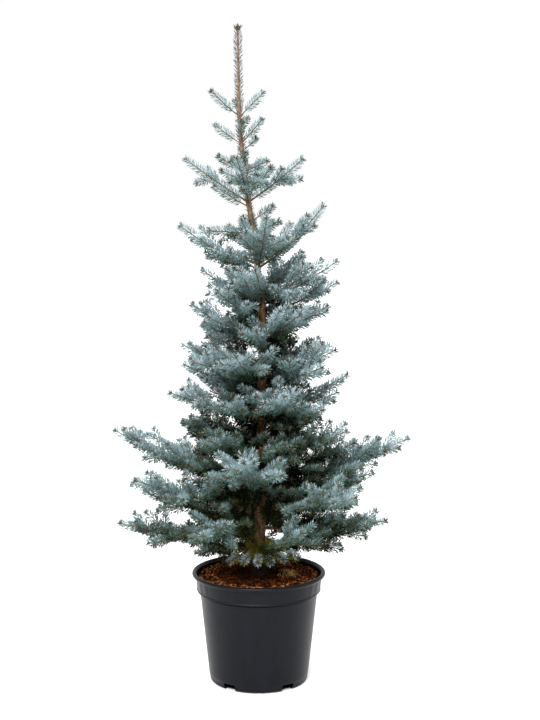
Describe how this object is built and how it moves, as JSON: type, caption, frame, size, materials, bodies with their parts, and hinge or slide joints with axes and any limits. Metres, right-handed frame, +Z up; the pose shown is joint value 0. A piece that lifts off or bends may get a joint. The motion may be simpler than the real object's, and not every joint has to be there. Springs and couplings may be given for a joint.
{
  "type": "potted blue spruce",
  "caption": "Young blue spruce with a straight leader and whorls of silvery blue boughs, growing in a tapered black nursery pot of potting mix.",
  "frame": {"origin": "centre of the pot's flat underside, on the surface it stands on", "axes": "+Z up along the pot's axis, +X to the crown's right and +Y to its back"},
  "size_m": [0.6675, 0.6645, 1.5],
  "materials": {
    "pot_plastic": "satin charcoal black, injection moulded",
    "potting_mix": "rough, loose coir and bark crumbs",
    "trunk_bark": "rough, scaly, with leaf pegs",
    "bough_bark": "matt, ridged with leaf pegs",
    "needles": "waxy, matt, silvery blue"
  },
  "bodies": {
    "root": {"pot": "pot_plastic", "soil": "potting_mix", "trunk": "trunk_bark", "leader": "needles", "foliage_tier1_1": "needles", "foliage_tier1_2": "needles", "foliage_tier1_3": "needles", "foliage_tier1_4": "needles", "foliage_tier2_1": "needles", "foliage_tier2_2": "needles", "foliage_tier2_3": "needles", "foliage_tier2_4": "needles", "foliage_tier3_1": "needles", "foliage_tier3_2": "needles", "foliage_tier3_3": "needles", "foliage_tier3_4": "needles", "bough_tier4_1": "bough_bark", "foliage_tier4_1": "needles", "bough_tier4_2": "bough_bark", "foliage_tier4_2": "needles", "bough_tier4_3": "bough_bark", "foliage_tier4_3": "needles", "bough_tier4_4": "bough_bark", "foliage_tier4_4": "needles", "foliage_tier5_1": "needles", "foliage_tier5_2": "needles", "foliage_tier5_3": "needles", "foliage_tier5_4": "needles", "foliage_tier6_1": "needles", "foliage_tier6_2": "needles", "foliage_tier6_3": "needles", "foliage_tier6_4": "needles", "foliage_tier7_1": "needles", "foliage_tier7_2": "needles", "foliage_tier7_3": "needles", "foliage_tier7_4": "needles", "foliage_tier8_1": "needles", "foliage_tier8_2": "needles", "foliage_tier8_3": "needles", "foliage_tier8_4": "needles", "foliage_tier9_1": "needles", "foliage_tier9_2": "needles", "foliage_tier9_3": "needles", "foliage_tier9_4": "needles", "foliage_tier10_1": "needles", "foliage_tier10_2": "needles", "foliage_tier10_3": "needles", "foliage_tier10_4": "needles", "foliage_tier11_1": "needles", "foliage_tier11_2": "needles", "foliage_tier12_1": "needles", "foliage_tier12_2": "needles", "foliage_tier12_3": "needles", "foliage_tier12_4": "needles", "foliage_tier13_1": "needles", "foliage_tier13_2": "needles", "foliage_tier14_1": "needles", "foliage_tier14_2": "needles", "foliage_tier15_1": "needles", "foliage_tier15_2": "needles"}
  },
  "joints": []
}
